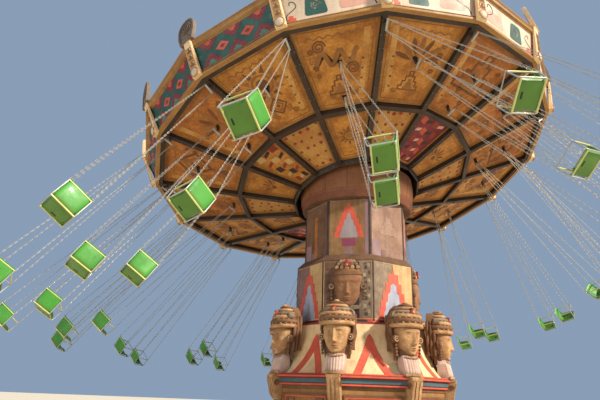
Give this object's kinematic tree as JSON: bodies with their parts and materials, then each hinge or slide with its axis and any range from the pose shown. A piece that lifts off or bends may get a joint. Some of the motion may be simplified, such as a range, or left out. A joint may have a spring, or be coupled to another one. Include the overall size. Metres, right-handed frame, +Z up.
{
  "type": "chair swing ride",
  "caption": "Chair swing ride with a stepped tower, a turning and rising column, and a tilted canopy that carries rings of seats on chains.",
  "frame": {"origin": "on the tower's axis at ground level, under the plinth", "axes": "+Z up; -Y is the near side, with the canopy low towards the back left and high towards the front right"},
  "size_m": [19.2358, 19.2629, 11.7726],
  "materials": {
    "stone": "matt paint like stone",
    "ochre": "matt paint",
    "slate": "satin paint",
    "cream": "satin paint",
    "carved": "cast and painted like sandstone",
    "dark_steel": "dark brown paint",
    "soffit_paint": "painted panels",
    "fascia_paint": "painted boards",
    "roof_sheet": "matt paint",
    "seat_green": "moulded seat in a plated tube frame"
  },
  "bodies": {
    "base": {"plinth": "stone", "base_drum": "ochre", "band": "slate", "skirt": "cream", "figures": "carved"},
    "lower_column": {"lower_stage": "stone"},
    "upper_column": {"upper_stage": "stone", "collar_bowl": "stone", "head_post": "dark_steel"},
    "tilting_head": {"tilt_head": "dark_steel"},
    "canopy": {"canopy_hub": "dark_steel", "hub_ring": "dark_steel", "ceiling": "soffit_paint", "fascia": "fascia_paint", "cornice": "cream", "roof": "roof_sheet", "crown": "cream"},
    "chair_outer_01": {"chair_outer_01": "seat_green"},
    "chair_outer_02": {"chair_outer_02": "seat_green"},
    "chair_outer_03": {"chair_outer_03": "seat_green"},
    "chair_outer_04": {"chair_outer_04": "seat_green"},
    "chair_outer_05": {"chair_outer_05": "seat_green"},
    "chair_outer_06": {"chair_outer_06": "seat_green"},
    "chair_outer_07": {"chair_outer_07": "seat_green"},
    "chair_outer_08": {"chair_outer_08": "seat_green"},
    "chair_outer_09": {"chair_outer_09": "seat_green"},
    "chair_outer_10": {"chair_outer_10": "seat_green"},
    "chair_outer_11": {"chair_outer_11": "seat_green"},
    "chair_outer_12": {"chair_outer_12": "seat_green"},
    "chair_outer_13": {"chair_outer_13": "seat_green"},
    "chair_outer_14": {"chair_outer_14": "seat_green"},
    "chair_outer_15": {"chair_outer_15": "seat_green"},
    "chair_outer_16": {"chair_outer_16": "seat_green"},
    "chair_middle_01": {"chair_middle_01": "seat_green"},
    "chair_middle_02": {"chair_middle_02": "seat_green"},
    "chair_middle_03": {"chair_middle_03": "seat_green"},
    "chair_middle_04": {"chair_middle_04": "seat_green"},
    "chair_middle_05": {"chair_middle_05": "seat_green"},
    "chair_middle_06": {"chair_middle_06": "seat_green"},
    "chair_middle_07": {"chair_middle_07": "seat_green"},
    "chair_middle_08": {"chair_middle_08": "seat_green"},
    "chair_middle_09": {"chair_middle_09": "seat_green"},
    "chair_middle_10": {"chair_middle_10": "seat_green"},
    "chair_middle_11": {"chair_middle_11": "seat_green"},
    "chair_middle_12": {"chair_middle_12": "seat_green"},
    "chair_middle_13": {"chair_middle_13": "seat_green"},
    "chair_middle_14": {"chair_middle_14": "seat_green"},
    "chair_middle_15": {"chair_middle_15": "seat_green"},
    "chair_middle_16": {"chair_middle_16": "seat_green"},
    "chair_inner_1": {"chair_inner_1": "seat_green"},
    "chair_inner_2": {"chair_inner_2": "seat_green"},
    "chair_inner_3": {"chair_inner_3": "seat_green"},
    "chair_inner_4": {"chair_inner_4": "seat_green"},
    "chair_inner_5": {"chair_inner_5": "seat_green"},
    "chair_inner_6": {"chair_inner_6": "seat_green"},
    "chair_inner_7": {"chair_inner_7": "seat_green"},
    "chair_inner_8": {"chair_inner_8": "seat_green"}
  },
  "joints": [
    {"name": "column_turn", "type": "hinge", "parent": "base", "child": "lower_column", "pos_m": [0, 0, 0], "axis": [0, 0, 1], "continuous": true},
    {"name": "column_lift", "type": "slide", "parent": "lower_column", "child": "upper_column", "axis": [0, 0, 1], "range_m": [-1.5, 0]},
    {"name": "canopy_tilt", "type": "hinge", "parent": "upper_column", "child": "tilting_head", "pos_m": [0, 0, 7.418], "axis": [-0.757, -0.6534, 0], "range_deg": [-15.6, 1]},
    {"name": "canopy_spin", "type": "hinge", "parent": "tilting_head", "child": "canopy", "pos_m": [0, 0, 7.418], "axis": [-0.1757, 0.2036, 0.9632], "continuous": true},
    {"name": "swing_outer_01", "type": "hinge", "parent": "canopy", "child": "chair_outer_01", "pos_m": [-1.52347, -5.33617, 9.14392], "axis": [-0.9516, 0.2155, -0.2192], "range_deg": [-32.68, 2.1]},
    {"name": "swing_outer_02", "type": "hinge", "parent": "canopy", "child": "chair_outer_02", "pos_m": [0.6825, -5.36237, 9.55191], "axis": [-0.9522, -0.2835, -0.1138], "range_deg": [-28.81, 1.85]},
    {"name": "swing_outer_03", "type": "hinge", "parent": "canopy", "child": "chair_outer_03", "pos_m": [2.762, -4.54606, 9.75876], "axis": [-0.654, -0.7554, 0.0404], "range_deg": [-27.92, 1.79]},
    {"name": "swing_outer_04", "type": "hinge", "parent": "canopy", "child": "chair_outer_04", "pos_m": [4.39844, -3.0115, 9.73296], "axis": [-0.1542, -0.972, 0.1773], "range_deg": [-30.56, 1.96]},
    {"name": "swing_outer_05", "type": "hinge", "parent": "canopy", "child": "chair_outer_05", "pos_m": [5.34268, -0.99232, 9.47846], "axis": [0.3141, -0.9157, 0.2508], "range_deg": [-35.61, 2.28]},
    {"name": "swing_outer_06", "type": "hinge", "parent": "canopy", "child": "chair_outer_06", "pos_m": [5.45098, 1.20409, 9.034], "axis": [0.6521, -0.7089, 0.2688], "range_deg": [-41.52, 2.66]},
    {"name": "swing_outer_07", "type": "hinge", "parent": "canopy", "child": "chair_outer_07", "pos_m": [4.70684, 3.24333, 8.46723], "axis": [0.864, -0.4371, 0.25], "range_deg": [-47.25, 3.03]},
    {"name": "swing_outer_08", "type": "hinge", "parent": "canopy", "child": "chair_outer_08", "pos_m": [3.22356, 4.81495, 7.86445], "axis": [0.9687, -0.1383, 0.206], "range_deg": [-52.23, 3.35]},
    {"name": "swing_outer_09", "type": "hinge", "parent": "canopy", "child": "chair_outer_09", "pos_m": [1.22695, 5.67969, 7.31742], "axis": [0.9755, 0.1675, 0.1426], "range_deg": [-56.09, 3.6]},
    {"name": "swing_outer_10", "type": "hinge", "parent": "canopy", "child": "chair_outer_10", "pos_m": [-0.97902, 5.7059, 6.90943], "axis": [0.8856, 0.46, 0.0643], "range_deg": [-58.44, 3.75]},
    {"name": "swing_outer_11", "type": "hinge", "parent": "canopy", "child": "chair_outer_11", "pos_m": [-3.05852, 4.88958, 6.70258], "axis": [0.7028, 0.711, -0.0221], "range_deg": [-58.94, 3.78]},
    {"name": "swing_outer_12", "type": "hinge", "parent": "canopy", "child": "chair_outer_12", "pos_m": [-4.69496, 3.35502, 6.72837], "axis": [0.4441, 0.8896, -0.107], "range_deg": [-57.42, 3.68]},
    {"name": "swing_outer_13", "type": "hinge", "parent": "canopy", "child": "chair_outer_13", "pos_m": [-5.6392, 1.33584, 6.98287], "axis": [0.1394, 0.9737, -0.1804], "range_deg": [-54.08, 3.47]},
    {"name": "swing_outer_14", "type": "hinge", "parent": "canopy", "child": "chair_outer_14", "pos_m": [-5.7475, -0.86056, 7.42734], "axis": [-0.2073, 0.9488, -0.2384], "range_deg": [-45.65, 2.93]},
    {"name": "swing_outer_15", "type": "hinge", "parent": "canopy", "child": "chair_outer_15", "pos_m": [-5.00336, -2.8998, 7.99411], "axis": [-0.5234, 0.8093, -0.2665], "range_deg": [-37.74, 2.42]},
    {"name": "swing_outer_16", "type": "hinge", "parent": "canopy", "child": "chair_outer_16", "pos_m": [-3.52008, -4.47143, 8.59689], "axis": [-0.7843, 0.5623, -0.2619], "range_deg": [-33.54, 2.15]},
    {"name": "swing_middle_01", "type": "hinge", "parent": "canopy", "child": "chair_middle_01", "pos_m": [-0.35154, -4.56032, 9.0258], "axis": [-0.9841, -0.011, -0.1772], "range_deg": [-29.11, 1.87]},
    {"name": "swing_middle_02", "type": "hinge", "parent": "canopy", "child": "chair_middle_02", "pos_m": [1.47222, -4.22407, 9.28746], "axis": [-0.8429, -0.5365, -0.0404], "range_deg": [-26.52, 1.7]},
    {"name": "swing_middle_03", "type": "hinge", "parent": "canopy", "child": "chair_middle_03", "pos_m": [3.05361, -3.22362, 9.36451], "axis": [-0.4054, -0.9065, 0.1176], "range_deg": [-27.46, 1.76]},
    {"name": "swing_middle_04", "type": "hinge", "parent": "canopy", "child": "chair_middle_04", "pos_m": [4.15186, -1.71126, 9.24523], "axis": [0.1088, -0.9684, 0.2245], "range_deg": [-31.57, 2.02]},
    {"name": "swing_middle_05", "type": "hinge", "parent": "canopy", "child": "chair_middle_05", "pos_m": [4.59979, 0.08277, 8.94777], "axis": [0.5133, -0.8159, 0.2661], "range_deg": [-37.25, 2.39]},
    {"name": "swing_middle_06", "type": "hinge", "parent": "canopy", "child": "chair_middle_06", "pos_m": [4.3292, 1.88532, 8.51742], "axis": [0.7807, -0.5672, 0.2623], "range_deg": [-43.16, 2.77]},
    {"name": "swing_middle_07", "type": "hinge", "parent": "canopy", "child": "chair_middle_07", "pos_m": [3.38128, 3.42199, 8.0197], "axis": [0.9324, -0.2794, 0.2292], "range_deg": [-48.54, 3.11]},
    {"name": "swing_middle_08", "type": "hinge", "parent": "canopy", "child": "chair_middle_08", "pos_m": [1.90035, 4.45883, 7.53038], "axis": [0.9843, 0.0225, 0.1748], "range_deg": [-52.97, 3.4]},
    {"name": "swing_middle_09", "type": "hinge", "parent": "canopy", "child": "chair_middle_09", "pos_m": [0.11186, 4.83799, 7.12395], "axis": [0.9413, 0.3211, 0.1039], "range_deg": [-56.1, 3.6]},
    {"name": "swing_middle_10", "type": "hinge", "parent": "canopy", "child": "chair_middle_10", "pos_m": [-1.7119, 4.50175, 6.86229], "axis": [0.8046, 0.5934, 0.0214], "range_deg": [-57.54, 3.69]},
    {"name": "swing_middle_11", "type": "hinge", "parent": "canopy", "child": "chair_middle_11", "pos_m": [-3.29329, 3.50129, 6.78524], "axis": [0.5835, 0.8095, -0.0647], "range_deg": [-57.03, 3.66]},
    {"name": "swing_middle_12", "type": "hinge", "parent": "canopy", "child": "chair_middle_12", "pos_m": [-4.39154, 1.98893, 6.90453], "axis": [0.3014, 0.9425, -0.1442], "range_deg": [-54.58, 3.5]},
    {"name": "swing_middle_13", "type": "hinge", "parent": "canopy", "child": "chair_middle_13", "pos_m": [-4.83947, 0.19491, 7.20198], "axis": [-0.0225, 0.9773, -0.2107], "range_deg": [-49.07, 3.15]},
    {"name": "swing_middle_14", "type": "hinge", "parent": "canopy", "child": "chair_middle_14", "pos_m": [-4.56888, -1.60765, 7.63233], "axis": [-0.3572, 0.8985, -0.2551], "range_deg": [-40.03, 2.57]},
    {"name": "swing_middle_15", "type": "hinge", "parent": "canopy", "child": "chair_middle_15", "pos_m": [-3.62096, -3.14432, 8.13006], "axis": [-0.6485, 0.7122, -0.2688], "range_deg": [-33.88, 2.17]},
    {"name": "swing_middle_16", "type": "hinge", "parent": "canopy", "child": "chair_middle_16", "pos_m": [-2.14003, -4.18116, 8.61938], "axis": [-0.8754, 0.4153, -0.2475], "range_deg": [-31.51, 2.02]},
    {"name": "swing_inner_1", "type": "hinge", "parent": "canopy", "child": "chair_inner_1", "pos_m": [-0.26145, -3.68153, 8.59512], "axis": [-0.9843, -0.0218, -0.175], "range_deg": [-30.27, 1.94]},
    {"name": "swing_inner_2", "type": "hinge", "parent": "canopy", "child": "chair_inner_2", "pos_m": [2.46977, -2.60938, 8.8668], "axis": [-0.4123, -0.9037, 0.1158], "range_deg": [-28.64, 1.84]},
    {"name": "swing_inner_3", "type": "hinge", "parent": "canopy", "child": "chair_inner_3", "pos_m": [3.70993, 0.04261, 8.53253], "axis": [0.502, -0.8231, 0.2655], "range_deg": [-38.35, 2.46]},
    {"name": "swing_inner_4", "type": "hinge", "parent": "canopy", "child": "chair_inner_4", "pos_m": [2.73259, 2.72095, 7.78814], "axis": [0.9294, -0.2882, 0.2305], "range_deg": [-49.67, 3.19]},
    {"name": "swing_inner_5", "type": "hinge", "parent": "canopy", "child": "chair_inner_5", "pos_m": [0.11024, 3.8567, 7.06968], "axis": [0.9424, 0.3176, 0.1048], "range_deg": [-57.28, 3.67]},
    {"name": "swing_inner_6", "type": "hinge", "parent": "canopy", "child": "chair_inner_6", "pos_m": [-2.62097, 2.78455, 6.79801], "axis": [0.5816, 0.8109, -0.0653], "range_deg": [-58.23, 3.73]},
    {"name": "swing_inner_7", "type": "hinge", "parent": "canopy", "child": "chair_inner_7", "pos_m": [-3.86114, 0.13256, 7.13227], "axis": [-0.0312, 0.9767, -0.2121], "range_deg": [-50.21, 3.22]},
    {"name": "swing_inner_8", "type": "hinge", "parent": "canopy", "child": "chair_inner_8", "pos_m": [-2.88379, -2.54578, 7.87666], "axis": [-0.6604, 0.7012, -0.2687], "range_deg": [-34.96, 2.24]}
  ],
  "couplings": [
    {"joint": "swing_outer_01", "follows": "canopy_tilt", "ratio": 2.0947},
    {"joint": "swing_outer_02", "follows": "canopy_tilt", "ratio": 1.8465},
    {"joint": "swing_outer_03", "follows": "canopy_tilt", "ratio": 1.7897},
    {"joint": "swing_outer_04", "follows": "canopy_tilt", "ratio": 1.959},
    {"joint": "swing_outer_05", "follows": "canopy_tilt", "ratio": 2.2828},
    {"joint": "swing_outer_06", "follows": "canopy_tilt", "ratio": 2.6615},
    {"joint": "swing_outer_07", "follows": "canopy_tilt", "ratio": 3.0287},
    {"joint": "swing_outer_08", "follows": "canopy_tilt", "ratio": 3.3482},
    {"joint": "swing_outer_09", "follows": "canopy_tilt", "ratio": 3.5955},
    {"joint": "swing_outer_10", "follows": "canopy_tilt", "ratio": 3.7463},
    {"joint": "swing_outer_11", "follows": "canopy_tilt", "ratio": 3.7779},
    {"joint": "swing_outer_12", "follows": "canopy_tilt", "ratio": 3.6806},
    {"joint": "swing_outer_13", "follows": "canopy_tilt", "ratio": 3.4667},
    {"joint": "swing_outer_14", "follows": "canopy_tilt", "ratio": 2.9262},
    {"joint": "swing_outer_15", "follows": "canopy_tilt", "ratio": 2.4192},
    {"joint": "swing_outer_16", "follows": "canopy_tilt", "ratio": 2.1501},
    {"joint": "swing_middle_01", "follows": "canopy_tilt", "ratio": 1.8658},
    {"joint": "swing_middle_02", "follows": "canopy_tilt", "ratio": 1.6998},
    {"joint": "swing_middle_03", "follows": "canopy_tilt", "ratio": 1.7602},
    {"joint": "swing_middle_04", "follows": "canopy_tilt", "ratio": 2.0236},
    {"joint": "swing_middle_05", "follows": "canopy_tilt", "ratio": 2.3878},
    {"joint": "swing_middle_06", "follows": "canopy_tilt", "ratio": 2.7665},
    {"joint": "swing_middle_07", "follows": "canopy_tilt", "ratio": 3.1116},
    {"joint": "swing_middle_08", "follows": "canopy_tilt", "ratio": 3.3957},
    {"joint": "swing_middle_09", "follows": "canopy_tilt", "ratio": 3.5958},
    {"joint": "swing_middle_10", "follows": "canopy_tilt", "ratio": 3.6884},
    {"joint": "swing_middle_11", "follows": "canopy_tilt", "ratio": 3.6558},
    {"joint": "swing_middle_12", "follows": "canopy_tilt", "ratio": 3.4989},
    {"joint": "swing_middle_13", "follows": "canopy_tilt", "ratio": 3.1454},
    {"joint": "swing_middle_14", "follows": "canopy_tilt", "ratio": 2.5662},
    {"joint": "swing_middle_15", "follows": "canopy_tilt", "ratio": 2.1719},
    {"joint": "swing_middle_16", "follows": "canopy_tilt", "ratio": 2.0199},
    {"joint": "swing_inner_1", "follows": "canopy_tilt", "ratio": 1.94},
    {"joint": "swing_inner_2", "follows": "canopy_tilt", "ratio": 1.8359},
    {"joint": "swing_inner_3", "follows": "canopy_tilt", "ratio": 2.4585},
    {"joint": "swing_inner_4", "follows": "canopy_tilt", "ratio": 3.184},
    {"joint": "swing_inner_5", "follows": "canopy_tilt", "ratio": 3.6718},
    {"joint": "swing_inner_6", "follows": "canopy_tilt", "ratio": 3.7323},
    {"joint": "swing_inner_7", "follows": "canopy_tilt", "ratio": 3.2182},
    {"joint": "swing_inner_8", "follows": "canopy_tilt", "ratio": 2.2411}
  ]
}
